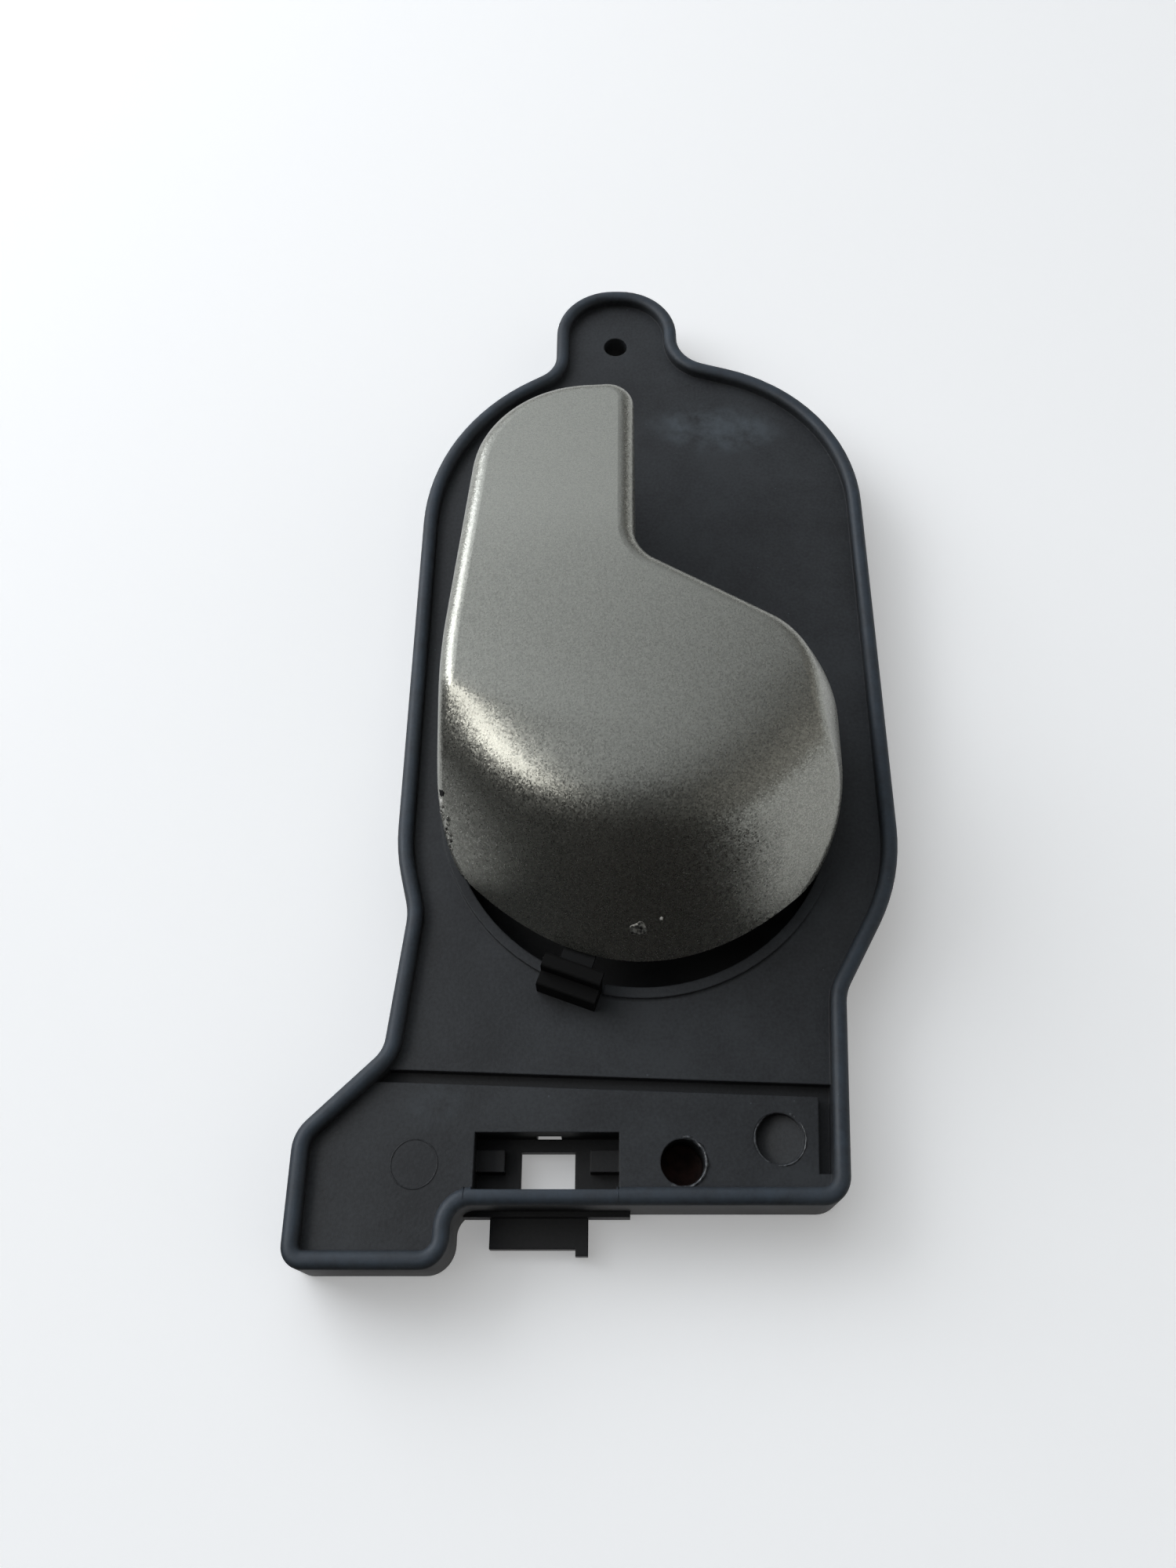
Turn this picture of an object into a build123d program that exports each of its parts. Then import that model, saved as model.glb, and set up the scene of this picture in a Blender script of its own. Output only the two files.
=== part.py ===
"""Interior door handle of a car: a black moulded plate that screws to the door and a hollow, silver
painted pull lever that swings on a steel pin against a torsion spring.

Frame: X across the plate, Y along it towards the screw tab, Z out of the door. The back of the plate
is z = 0 and the middle of its outline is x = y = 0. All lengths are millimetres.
"""
import os
from math import atan2, cos, degrees, hypot, pi, radians, sin, sqrt, tan

from build123d import *

# Plate levels
floor_top = 8.0            # flat floor inside the rim
floor_thickness = 2.4
bead_height = 2.0          # rounded rim above the floor
bead_flat = 0.2            # level strip between the rounds of the rim
rim_width = 2.2
side_wall = 1.8            # outer wall that stands on the door

# Plate outline, outer edge of the rim: its long sides
side_left = -30.2
side_right = 40.35
bulge_left_y = -25.8
neck_left_inset = 2.3      # insets and drops are from the side or end that they stand by
neck_left_y = -34.6
hip_left_inset = 0.45
bulge_right_y = -29.8
waist_right_inset = 9.05
waist_right_y = -45.5
bulge_round = 28.0
neck_round = 8.0
waist_round = 6.0
hip_round = 4.0

# Plate outline: the screw tab and the shoulders below it
tab_x = 0.8
tab_width = 20.8
tab_flat = 1.2             # straight run at the very top
tab_top = 79.0
tab_root_left_drop = 17.8
tab_root_left_round = 5.0
tab_root_right_drop = 15.2
tab_root_right_round = 6.0
shoulder_left_drop = 30.3
shoulder_left_straight = 2.15
shoulder_right_drop = 23.9
shoulder_right_straight = 4.65

# Plate outline: the lower edge and the foot beside it
foot_bottom = -79.0
foot_left_reach = 10.15    # out past the left side
foot_right = -19.8
foot_height = 7.2          # from the foot's end up to the lower edge
foot_shoulder_rise = 8.6   # rises are from the lower edge
foot_shoulder_round = 5.0
foot_inner_straight = 1.0
hip_left_rise = 18.8
lower_right_inset = 10.6
corner_round_over = 0.6    # how much more than the rim a corner's radius is
wide_corner_round_over = 1.4

# Screw tab
screw_hole = 4.0
screw_x = 0.6
screw_drop = 11.7
screw_boss = 8.4

# Raised lower panel, set off by a groove along its top and right edges
panel_left_rise = 15.8
panel_right_rise = 13.8
groove_width = 1.6
groove_depth = 1.7

# Cable window with its two fork jaws
window_left = -17.4
window_right = 1.0
window_rise = 8.8
window_wall = 1.4
jaw_gap = 7.0
jaw_step = 2.0
jaw_shelf_top = 2.6
jaw_top = 4.6
jaw_back_drop = 1.6         # below the top of the window
jaw_width = 2.7
jaw_floor = 0.8

# Snap tongue below the window
tongue_x = -9.2
tongue_width = 12.5
tongue_length = 4.3
tongue_bottom = 0.6
tongue_thickness = 2.0
tongue_barb = 0.8
tongue_root = 0.7
tongue_root_height = 1.0

# Round marks in the lower panel
blind_hole = 5.6
blind_hole_x = 9.0
blind_hole_rise = 5.2
blind_hole_floor = 1.6
dimple = 6.2
dimple_x = 21.5
dimple_rise = 8.05
dimple_depth = 1.3
dimple_tilt = 11.0

# Stiffening ribs behind the floor
rib_width = 1.4
rib_back = 1.6
rib_rows = (53.2, 32.6, 14.6)
rib_columns = (-9.5, 4.1, 17.7)
panel_rib_rise = 4.0       # of the rib above the lower panel

# Well that the front of the lever dips into
hub_x = 4.1
hub_y = -17.5
well_radius = 27.2
well_wall = 1.0
well_bottom = 0.9
well_lip_width = 1.4
well_lip_height = 0.5

# Pivot
pivot_y = -19.0
pivot_z = 14.5
pin_diameter = 4.0
pin_chamfer = 0.4
running_clearance = 0.05
grip_clearance = 0.01
pin_right_inset = 4.3
pin_end_room = 0.3
lever_travel = 25.0        # degrees
ear_thickness = 3.0
ear_round = 4.0
ear_flare = 5.0
ear_left_x = -3.0
ear_right_x = 12.0
side_clearance = 0.6

# Lever in plan, at the bottom edge of its skirt: reaches are past the well, rooms are inside it
lever_left_reach = 1.5
lever_front_left_room = 0.3
lever_right_reach = 1.0
lever_front_room = 1.7
lever_round_left_room = 2.2
lever_shoulder_y = -2.6
lever_shoulder_round = 11.0
arm_right = 3.6
arm_notch_y = 10.6
arm_notch_round = 5.6
arm_tip_y = 43.2
arm_tip_left = -20.3
arm_tip_left_y = 41.6
arm_tip_round = 18.0
arm_corner_round = 4.0
lever_bend_y = -5.0
lever_bend_round = 60.0
lean_left = 2.6            # how far each wall leans in at the top
lean_right = 8.0
lean_front = 2.0
lean_tip = 1.8
lean_arm = 0.6
lever_wall = 2.2
lever_edge_round = 2.4
crease_angle = 12.0        # degrees; flatter joins are left alone
crease_start = 0.5         # edges nearer than this to the foot of the skirt stay sharp
wall_levels = 4            # plan outlines that the walls run through

# Lever from the side
skirt_bottom = 12.6
arm_underside = 22.0
underside_start = 3.0
underside_end = 15.0
underside_round = 6.0
crest_left = (-7.0, 1.6, 5.0)          # y, drop from the top and rounding of the crest at the left
crest_middle = (-28.0, 2.2, 12.0)
crest_right = (-9.0, 3.0, 22.0)
wall_foot_left = 19.3      # setback of the front wall's foot from the front of the skirt
wall_foot_middle = 0.6
wall_foot_right = 18.9
skin_shares = (0.0, 0.35, 0.65)        # where the smooth line of a side view touches each run and round
arm_top_y = 14.0
arm_top_z = 33.0
arm_tip_drop = 3.6
arm_top_round = 70.0

# Barrel, ribs and cable arm inside the lever
barrel_radius = 4.4
barrel_bite = 0.3          # how far a barrel runs into the side wall
lever_rib = 1.6
lever_rib_depth = 3.4
barrel_ribs = (-18.6, -8.1, 16.5, 25.3)
arm_ribs = (14.6, 26.6)
arm_rib_rise = 2.0         # above the underside of the arm
cable_x = -8.1
cable_arm_width = 4.4
cable_arm_reach = 11.6
cable_arm_round = 2.6
cable_arm_rest = 13.0      # degrees towards the cable at rest
nipple = 3.2
cable_slit = 1.4
cable_port_room = 1.0
cable_slot = 3.2
cable_slot_end = -38.3
cable_roof = 4.8

# Rest buffer at the front left of the well
buffer_angle = 19.5        # degrees left of straight ahead of the hub
buffer_width = 8.2
buffer_foot = 3.2          # length that stands on the floor
buffer_ledge = 2.0         # length of the lower step
buffer_top = 13.6
buffer_step_top = 11.6
buffer_nose_under = 12.4
buffer_peg = 1.8
buffer_peg_inset = 1.0     # from the outer face to the middle of the peg
buffer_peg_head = 2.6
buffer_peg_head_height = 1.2
buffer_round = 0.5
buffer_gap = 0.3
toe_width = 4.4
toe_thickness = 1.0
toe_hold = 0.5             # how far the toe reaches under the nose

# Return spring
spring_wire = 1.1
spring_radius = 3.6        # to the middle of the wire
spring_turns = 5
spring_start = 0.2
spring_pitch = 1.35
spring_head_room = 7.8     # from the end of the upper leg to the highest level of the lever
spring_upper_tilt = 34.0
spring_lower_tilt = 40.0
seat_gap = 0.05

# Values that follow from those above
far = 400.0                # longer than anything in the part
floor_under = floor_top - floor_thickness
bead_top = floor_top + bead_height
bead_round = (rim_width - bead_flat) / 2
corner_round = rim_width + corner_round_over
wide_corner_round = rim_width + wide_corner_round_over
lower_edge = foot_bottom + foot_height
lower_right = side_right - lower_right_inset
hip_left = side_left + hip_left_inset
screw_y = tab_top - screw_drop
panel_left_y = lower_edge + panel_left_rise
panel_right_y = lower_edge + panel_right_rise
window_top = lower_edge + window_rise
jaw_back_y = window_top - jaw_back_drop
blind_hole_y = lower_edge + blind_hole_rise
dimple_y = lower_edge + dimple_rise
lever_left = hub_x - well_radius - lever_left_reach
lever_front_left = hub_x - well_radius + lever_front_left_room
lever_right = hub_x + well_radius + lever_right_reach
lever_front = hub_y - well_radius + lever_front_room
lever_round_left = well_radius - lever_round_left_room
pin_radius = pin_diameter / 2
pin_right = lever_right - pin_right_inset
pivot_share = (lever_bend_y - pivot_y) / (lever_bend_y - lever_front)
pin_left = lever_left + (lever_front_left - lever_left) * pivot_share
arm_swing = cable_arm_reach * sin(radians(lever_travel - cable_arm_rest))
well_back = arm_swing + cable_arm_round + cable_port_room
buffer_outer = well_radius + buffer_gap + buffer_foot
buffer_step = buffer_outer - buffer_ledge
peg_y = -buffer_outer + buffer_peg_inset


def rounded_face(corners):
    """Face inside a closed outline of straight runs, each corner given as x, y and radius."""
    points = [(x, y) for x, y, _ in corners]
    radii = [r for _, _, r in corners]
    return make_face(FilletPolyline(*points, radius=radii, close=True))


def block(x0, x1, y0, y1, z0, z1):
    """Box between two corners."""
    return Pos((x0 + x1) / 2, (y0 + y1) / 2, (z0 + z1) / 2) * Box(x1 - x0, y1 - y0, z1 - z0)


def post(x, y, diameter, z0, z1):
    """Upright round post or hole."""
    return Pos(x, y, (z0 + z1) / 2) * Cylinder(diameter / 2, z1 - z0)


def along_x(radius, x0, x1, y=pivot_y, z=pivot_z):
    """Round bar parallel to the pivot."""
    return Pos((x0 + x1) / 2, y, z) * Rot(0, 90, 0) * Cylinder(radius, x1 - x0)


def from_side(face, x0, x1):
    """Side view outline, drawn as y and z, given its width across the part."""
    return Plane.YZ.offset(x0) * extrude(face, x1 - x0)


def at_buffer(shape):
    """Turn a shape drawn straight ahead of the hub to the buffer's place on the well."""
    return Pos(hub_x, hub_y, 0) * Rot(0, 0, -buffer_angle) * shape


# Base plate

def shoulder_round(across, up, root_round, straight):
    """Radius that fills a shoulder's slope, bar a straight run, up to the round at the tab's root."""
    return (hypot(across, up) - straight) / tan(atan2(across, up) / 2) - root_round


def plate_outline():
    """Rim outline, anticlockwise from the lower left corner of the foot."""
    foot_left = side_left - foot_left_reach
    tab_left = tab_x - tab_width / 2
    tab_right = tab_x + tab_width / 2
    tab_round = (tab_width - tab_flat) / 2
    left_round = shoulder_round(tab_left - side_left, shoulder_left_drop - tab_root_left_drop,
                                tab_root_left_round, shoulder_left_straight)
    right_round = shoulder_round(side_right - tab_right, shoulder_right_drop - tab_root_right_drop,
                                 tab_root_right_round, shoulder_right_straight)
    return rounded_face([
        (foot_left, foot_bottom, corner_round),
        (foot_right, foot_bottom, wide_corner_round),
        (foot_right, lower_edge, foot_height - wide_corner_round - foot_inner_straight),
        (lower_right, lower_edge, wide_corner_round),
        (side_right - waist_right_inset, waist_right_y, waist_round),
        (side_right, bulge_right_y, bulge_round),
        (side_right, tab_top - shoulder_right_drop, right_round),
        (tab_right, tab_top - tab_root_right_drop, tab_root_right_round),
        (tab_right, tab_top, tab_round),
        (tab_left, tab_top, tab_round),
        (tab_left, tab_top - tab_root_left_drop, tab_root_left_round),
        (side_left, tab_top - shoulder_left_drop, left_round),
        (side_left, bulge_left_y, bulge_round),
        (side_left + neck_left_inset, neck_left_y, neck_round),
        (hip_left, lower_edge + hip_left_rise, hip_round),
        (foot_left, lower_edge + foot_shoulder_rise, foot_shoulder_round),
    ])


def plate_tray(outline):
    """Floor with its rounded rim in front and its outer wall behind."""
    tray = extrude(outline, bead_top)
    tray -= Pos(0, 0, floor_top) * extrude(offset(outline, -rim_width), bead_top - floor_top)
    tray = fillet(tray.edges().filter_by_position(Axis.Z, bead_top - 0.01, bead_top + 0.01), bead_round)
    return tray - extrude(offset(outline, -side_wall), floor_under)


def back_ribs(outline):
    """Ribs across and along the back, clear of the well, the window and the boss."""
    inside = Pos(0, 0, rib_back) * extrude(offset(outline, -side_wall / 2), floor_under - rib_back)
    half = rib_width / 2
    ribs = Part()
    for y in (*rib_rows, panel_left_y + panel_rib_rise):
        ribs += block(-far, far, y - half, y + half, 0, floor_under)
    for x in rib_columns:
        ribs += block(x - half, x + half, arm_notch_y, screw_y, 0, floor_under)
    return ribs & inside


def well_shape(radius, back, z0, z1):
    """Round well with a straight back wall behind the pivot."""
    return post(hub_x, hub_y, 2 * radius, z0, z1) & block(-far, far, -far, pivot_y + back, -far, far)


def well_bucket():
    """Wall and bottom of the well, with a low lip on the floor, broken where the buffer stands."""
    bucket = well_shape(well_radius + well_wall, well_back + well_wall, 0, floor_under)
    lip = well_shape(well_radius + well_lip_width, well_back, floor_under, floor_top + well_lip_height)
    half = buffer_width / 2 + buffer_gap
    return bucket + (lip - at_buffer(block(-half, half, -far, 0, floor_top, far)))


def well_cut():
    """Inside of the well."""
    return well_shape(well_radius, well_back, well_bottom, far)


def ear(x):
    """Bearing ear that stands on the bottom of the well and holds the pin."""
    x0 = x - ear_thickness / 2
    foot = ear_round + ear_flare
    side = rounded_face([
        (pivot_y - foot, well_bottom / 2, 0),
        (pivot_y + well_back, well_bottom / 2, 0),
        (pivot_y + well_back, pivot_z, 0),
        (pivot_y - ear_round, pivot_z, 0),
    ])
    plate = from_side(side, x0, x0 + ear_thickness)
    return plate + along_x(ear_round, x0, x0 + ear_thickness)


def cable_port():
    """Hole in the bottom of the well for the cable arm and its swing."""
    half = cable_arm_width / 2 + cable_port_room
    ahead = cable_arm_reach * sin(radians(cable_arm_rest)) + cable_arm_round + cable_port_room
    return block(cable_x - half, cable_x + half, pivot_y - ahead, pivot_y + well_back, -far, well_bottom)


def cable_channel():
    """Way for the cable from the fork jaws through the ribs and the front of the well."""
    half = cable_slot / 2
    return block(cable_x - half, cable_x + half, window_top, cable_slot_end, -far, cable_roof)


def window_cut(bottom):
    """Opening of the window, from a level upwards."""
    return block(window_left, window_right, lower_edge + side_wall, window_top, bottom, far)


def window_frame():
    """Shaft round the window, with a ledge at its top and a stepped fork jaw on each side of it."""
    y0 = lower_edge + side_wall
    outer = block(window_left - window_wall, window_right + window_wall, y0, window_top + window_wall,
                  0, floor_under)
    frame = outer - window_cut(-far)
    frame += block(window_left, window_right, jaw_back_y, window_top, jaw_floor, jaw_shelf_top)
    middle = (window_left + window_right) / 2
    for side in (-1, 1):
        edge = window_left if side < 0 else window_right
        shelf_end = middle + side * jaw_gap / 2
        jaw_end = shelf_end + side * jaw_step
        x0, x1 = sorted((edge + side * window_wall, shelf_end))
        frame += block(x0, x1, y0, jaw_back_y, jaw_floor, jaw_shelf_top)
        x0, x1 = sorted((edge + side * window_wall, jaw_end))
        frame += block(x0, x1, jaw_back_y - jaw_width, jaw_back_y, jaw_shelf_top, jaw_top)
    return frame


def snap_tongue():
    """Flat tongue that slips under the trim, with a barb at its tip and a thick root."""
    x0 = tongue_x - tongue_width / 2
    x1 = tongue_x + tongue_width / 2
    y0 = lower_edge - tongue_length
    z1 = tongue_bottom + tongue_thickness
    tongue = block(x0, x1, y0, lower_edge + side_wall / 2, tongue_bottom, z1)
    tongue += block(x1 - 2 * tongue_barb, x1, y0 - tongue_barb, y0 + tongue_barb, tongue_bottom, z1)
    root = block(window_left - window_wall, window_right + window_wall, lower_edge - tongue_root,
                 lower_edge + side_wall / 2, tongue_bottom, z1 + tongue_root_height)
    return tongue + root


def panel_groove(outline):
    """Groove along the top of the lower panel and down its right edge."""
    floor = Pos(0, 0, floor_top - groove_depth) * extrude(offset(outline, -rim_width), groove_depth)
    angle = Rot(0, 0, degrees(atan2(panel_right_y - panel_left_y, lower_right - hip_left)))
    middle_y = (panel_left_y + panel_right_y) / 2
    top = Pos((hip_left + lower_right) / 2, middle_y, floor_top) * angle * Box(far, groove_width, far)
    inner = Pos(0, 0, -far / 2) * extrude(offset(outline, -rim_width - groove_width), far)
    right = block(lower_right - 2 * rim_width - groove_width, far, -far, panel_right_y, -far, far) - inner
    right -= block(-far, far, -far, lower_edge + rim_width + groove_width, -far, far)
    return floor & (top + right)


def round_marks():
    """Blind core hole and shallow tilted dimple of the lower panel."""
    hole = post(blind_hole_x, blind_hole_y, blind_hole, blind_hole_floor, far)
    tool = Cylinder(dimple / 2, 2 * floor_top, align=(Align.CENTER, Align.CENTER, Align.MIN))
    return hole + Pos(dimple_x, dimple_y, floor_top - dimple_depth) * Rot(0, -dimple_tilt, 0) * tool


def buffer_hole():
    """Hole in the floor for the peg of the buffer."""
    return at_buffer(post(0, peg_y, buffer_peg + 2 * running_clearance, 0, far))


def base_plate():
    """Whole plate, one moulding."""
    outline = plate_outline()
    plate = plate_tray(outline) + back_ribs(outline)
    plate += post(screw_x, screw_y, screw_boss, 0, floor_under)
    plate += post(blind_hole_x, blind_hole_y, blind_hole + 2 * side_wall, 0, floor_under)
    plate += window_frame() + snap_tongue() + well_bucket()
    plate -= well_cut() + window_cut(floor_under) + panel_groove(outline) + round_marks()
    plate -= cable_port() + cable_channel() + buffer_hole()
    plate -= post(screw_x, screw_y, screw_hole, -far, far)
    plate += ear(ear_left_x) + ear(ear_right_x)
    return plate - along_x(pin_radius + running_clearance, -far, far)


# Lever

def lever_plan(rise, inset):
    """Plan outline of the lever, anticlockwise from its front left; its walls lean in as they rise."""
    lean = rise ** 2
    left = lean_left * lean + inset
    right = lever_right - lean_right * lean - inset
    front = lever_front + lean_front * lean + inset
    tip = lean_tip * lean + inset
    arm = arm_right - lean_arm * lean - inset
    slope = atan2(arm_notch_y - lever_shoulder_y, lever_right - arm_right)
    notch = inset * (1 - sin(slope)) / cos(slope)
    shrink = (lean_left + lean_right) / 2 * lean + inset
    return rounded_face([
        (lever_front_left + left, front, lever_round_left - shrink),
        (right, front, well_radius - shrink),
        (right, lever_shoulder_y - notch, lever_shoulder_round - inset),
        (arm, arm_notch_y - notch, arm_notch_round + inset),
        (arm, arm_tip_y - tip, arm_corner_round - inset),
        (arm_tip_left + left, arm_tip_left_y - tip, arm_tip_round - inset),
        (lever_left + left, lever_bend_y, lever_bend_round),
    ])


def lever_walls(inset):
    """Side walls of the lever from its skirt up past its top."""
    height = arm_top_z + lever_wall - skirt_bottom
    levels = [step / (wall_levels - 1) for step in range(wall_levels)]
    return loft([Pos(0, 0, skirt_bottom + rise * height) * lever_plan(rise, inset) for rise in levels])


def lever_section(x, crest, foot, drop):
    """Side view of the lever at one place across it: front wall, crest and arm in one smooth line."""
    crest_y, crest_drop, crest_round = crest
    top = arm_top_z - drop
    end = arm_tip_y + lever_wall
    slant = atan2(arm_top_z - crest_drop - skirt_bottom, crest_y - lever_front - foot)
    front = lever_front + foot + drop / sin(slant) - skirt_bottom / tan(slant)
    corners = [
        (front, 0),
        (crest_y + drop * tan(slant / 2), top - crest_drop),
        (arm_top_y, top),
        (end, top - arm_tip_drop),
    ]
    line = FilletPolyline(*corners, radius=[crest_round, arm_top_round])
    points = []
    done = 0.0
    for edge in line.edges().sort_by(line):
        points += [line @ ((done + share * edge.length) / line.length) for share in skin_shares]
        done += edge.length
    skin = Spline(*points, line @ 1)
    closing = Polyline(corners[-1], (end, 0), corners[0])
    return Plane.YZ.offset(x) * make_face([skin, closing])


def lever_body(inset):
    """Outer form of the lever, or the hollow inside it when inset by the wall."""
    left = lever_section(lever_left - lever_wall, crest_left, wall_foot_left, inset)
    middle = lever_section(hub_x, crest_middle, wall_foot_middle, inset)
    right = lever_section(lever_right + lever_wall, crest_right, wall_foot_right, inset)
    return loft([left, middle, right]) & lever_walls(inset)


def underside_cut():
    """Room below the lever: level under the skirt, higher under the arm for the fingers."""
    side = rounded_face([
        (-far, -far, 0),
        (far, -far, 0),
        (far, arm_underside, 0),
        (underside_end, arm_underside, underside_round),
        (underside_start, skirt_bottom, underside_round),
        (-far, skirt_bottom, 0),
    ])
    return from_side(side, -far, far)


def crease_edges(body):
    """Edges of the lever where its top meets its walls, above the skirt."""
    faces = body.faces()
    creases = []
    for edge in body.edges():
        middle = edge.position_at(0.5)
        beside = [face for face in faces if any(edge.is_same(other) for other in face.edges())]
        if middle.Z < skirt_bottom + crease_start or len(beside) != 2:
            continue
        if beside[0].normal_at(middle).get_angle(beside[1].normal_at(middle)) > crease_angle:
            creases.append(edge)
    return creases


def lever_barrels():
    """Two barrels that grip the pin outside the bearing ears."""
    left_end = ear_left_x - ear_thickness / 2 - side_clearance
    right_end = ear_right_x + ear_thickness / 2 + side_clearance
    left = along_x(barrel_radius, pin_left + lever_wall - barrel_bite, left_end)
    return left + along_x(barrel_radius, right_end, lever_right - lever_wall + barrel_bite)


def lever_ribs():
    """Ribs from the barrels up to the roof of the lever, and ribs along and across its arm."""
    half = lever_rib / 2
    y0 = pivot_y - lever_rib_depth
    y1 = pivot_y + lever_rib_depth
    ribs = Part()
    for x in barrel_ribs:
        ribs += block(x - half, x + half, y0, y1, pivot_z, far)
    arm_x = (arm_right + arm_tip_left) / 2
    low = arm_underside + arm_rib_rise
    ribs += block(arm_x - half, arm_x + half, y1, arm_tip_y, low, far)
    for y in arm_ribs:
        ribs += block(lever_left, arm_right, y - half, y + half, low, far)
    return ribs


def cable_eye():
    """Place of the cable nipple on the cable arm, as y and z."""
    swing = radians(cable_arm_rest)
    return pivot_y - cable_arm_reach * sin(swing), pivot_z - cable_arm_reach * cos(swing)


def cable_arm():
    """Arm that reaches down through the well and pulls the door cable."""
    eye_y, eye_z = cable_eye()
    slot = SlotCenterToCenter(cable_arm_reach, 2 * cable_arm_round, rotation=90 - cable_arm_rest)
    side = Pos((pivot_y + eye_y) / 2, (pivot_z + eye_z) / 2) * slot
    half = cable_arm_width / 2
    arm = from_side(side, cable_x - half, cable_x + half)
    arm -= along_x(nipple / 2, cable_x - half, cable_x, eye_y, eye_z)
    slit = cable_slit / 2
    return arm - block(cable_x - slit, cable_x + slit, eye_y - far, eye_y, eye_z - far, eye_z + slit)


def nose_reach():
    """Distance of the buffer's nose from the hub: just outside the rounded front left of the skirt."""
    turn = radians(buffer_angle)
    corner = pi / 2 + atan2(lever_front_left - lever_left, lever_bend_y - lever_front)
    x = lever_front_left + lever_round_left / tan(corner / 2) - hub_x
    y = lever_front + lever_round_left - hub_y
    ahead = -x * sin(turn) - y * cos(turn)
    return ahead + sqrt(lever_round_left ** 2 - x ** 2 - y ** 2 + ahead ** 2) + buffer_gap


def rest_toe():
    """Toe on the skirt that comes up under the rest buffer."""
    half = toe_width / 2
    top = buffer_nose_under - buffer_gap
    bottom = top - toe_thickness
    outer = nose_reach() + toe_hold
    root = nose_reach() - buffer_gap - 2 * lever_wall
    toe = block(-half, half, -outer, -root + lever_wall, bottom, top)
    toe += block(-half, half, -root, -root + lever_wall, bottom, skirt_bottom + lever_wall)
    return at_buffer(toe)


def lever():
    """Whole lever, one hollow moulding."""
    body = lever_body(0)
    body = fillet(crease_edges(body), lever_edge_round)
    part = body - lever_body(lever_wall) - underside_cut()
    part += (lever_ribs() & body) + lever_barrels() + cable_arm() + rest_toe()
    return part - along_x(pin_radius + grip_clearance, -far, pin_right + pin_end_room)


# Pivot pin

def pivot_pin():
    """Plain steel pin with broken edges."""
    pin = along_x(pin_radius, pin_left, pin_right)
    return chamfer(pin.edges().filter_by(GeomType.CIRCLE), pin_chamfer)


# Return spring

def return_spring():
    """Torsion spring round the pin: one leg stands in the well, the other lifts the front."""
    upper = radians(spring_upper_tilt)
    lower = radians(spring_lower_tilt)
    turns = spring_turns + 0.5 - (spring_upper_tilt + spring_lower_tilt) / 360
    coil = Helix(spring_pitch, spring_pitch * turns, spring_radius)
    coil = Pos(spring_start, pivot_y, pivot_z) * Rot(spring_lower_tilt, 0, 0) * Rot(0, 90, 0) * coil
    wire = spring_wire / 2
    spring = sweep(Plane(coil @ 0, z_dir=coil % 0) * Circle(wire), path=coil, is_frenet=True)
    drop = (coil @ 0).Z - well_bottom - wire - seat_gap
    rise = arm_top_z - spring_head_room - (coil @ 1).Z
    lower_leg = Plane(coil @ 0, z_dir=-(coil % 0))
    upper_leg = Plane(coil @ 1, z_dir=coil % 1)
    spring += extrude(lower_leg * Circle(wire), drop / sin(lower))
    return spring + extrude(upper_leg * Circle(wire), rise / sin(upper))


# Rest buffer

def rest_buffer():
    """Rubber stop pegged to the floor, with a nose over the edge of the well."""
    foot = -well_radius - buffer_gap
    nose = -nose_reach()
    side = rounded_face([
        (-buffer_outer, floor_top, 0),
        (foot, floor_top, 0),
        (foot, buffer_nose_under, 0),
        (nose, buffer_nose_under, 0),
        (nose, buffer_top, buffer_round),
        (-buffer_step, buffer_top, buffer_round),
        (-buffer_step, buffer_step_top, 0),
        (-buffer_outer, buffer_step_top, buffer_round),
    ])
    stop = from_side(side, -buffer_width / 2, buffer_width / 2)
    stop += post(0, peg_y, buffer_peg, floor_under, floor_top)
    stop += post(0, peg_y, buffer_peg_head, floor_under - buffer_peg_head_height, floor_under)
    return at_buffer(stop)


os.makedirs("parts", exist_ok=True)
for node in (base_plate, lever, pivot_pin, return_spring, rest_buffer):
    export_step(node(), f"parts/{node.__name__}.step")
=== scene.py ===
"""Interior door handle of a car, dressed for the picture: a black moulded plate, a silver painted pull
lever on a steel pin, its return spring and its rubber stop. Lengths are metres."""

import bpy
from math import cos, pi, radians, sin
from mathutils import Matrix, Vector, noise
from mathutils.bvhtree import BVHTree


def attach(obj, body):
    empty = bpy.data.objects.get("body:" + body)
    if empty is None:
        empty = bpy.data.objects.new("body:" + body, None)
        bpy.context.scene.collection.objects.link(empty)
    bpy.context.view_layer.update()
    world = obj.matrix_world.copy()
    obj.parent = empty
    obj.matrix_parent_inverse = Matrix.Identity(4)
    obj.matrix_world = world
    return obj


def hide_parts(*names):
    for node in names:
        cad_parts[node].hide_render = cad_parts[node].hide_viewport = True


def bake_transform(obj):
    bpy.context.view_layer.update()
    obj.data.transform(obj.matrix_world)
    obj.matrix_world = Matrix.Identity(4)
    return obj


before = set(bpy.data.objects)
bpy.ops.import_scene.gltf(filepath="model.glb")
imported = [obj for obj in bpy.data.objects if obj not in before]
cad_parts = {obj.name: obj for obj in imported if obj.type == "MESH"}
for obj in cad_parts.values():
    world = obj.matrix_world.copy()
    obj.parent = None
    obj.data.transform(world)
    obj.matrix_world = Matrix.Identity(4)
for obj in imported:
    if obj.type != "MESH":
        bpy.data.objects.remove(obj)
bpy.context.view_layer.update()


# Studio: the handle lies on a white table inside a low white wall, lit by a wide window lamp behind it at
# the left. A long lamp at its left and a dark card in front show in gloss only and shape the lever's sheen.
# The camera stands where the photograph was taken from, 30 degrees off straight down.
MM = 0.001
scene = bpy.context.scene
scene.view_settings.view_transform = "Standard"

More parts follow.
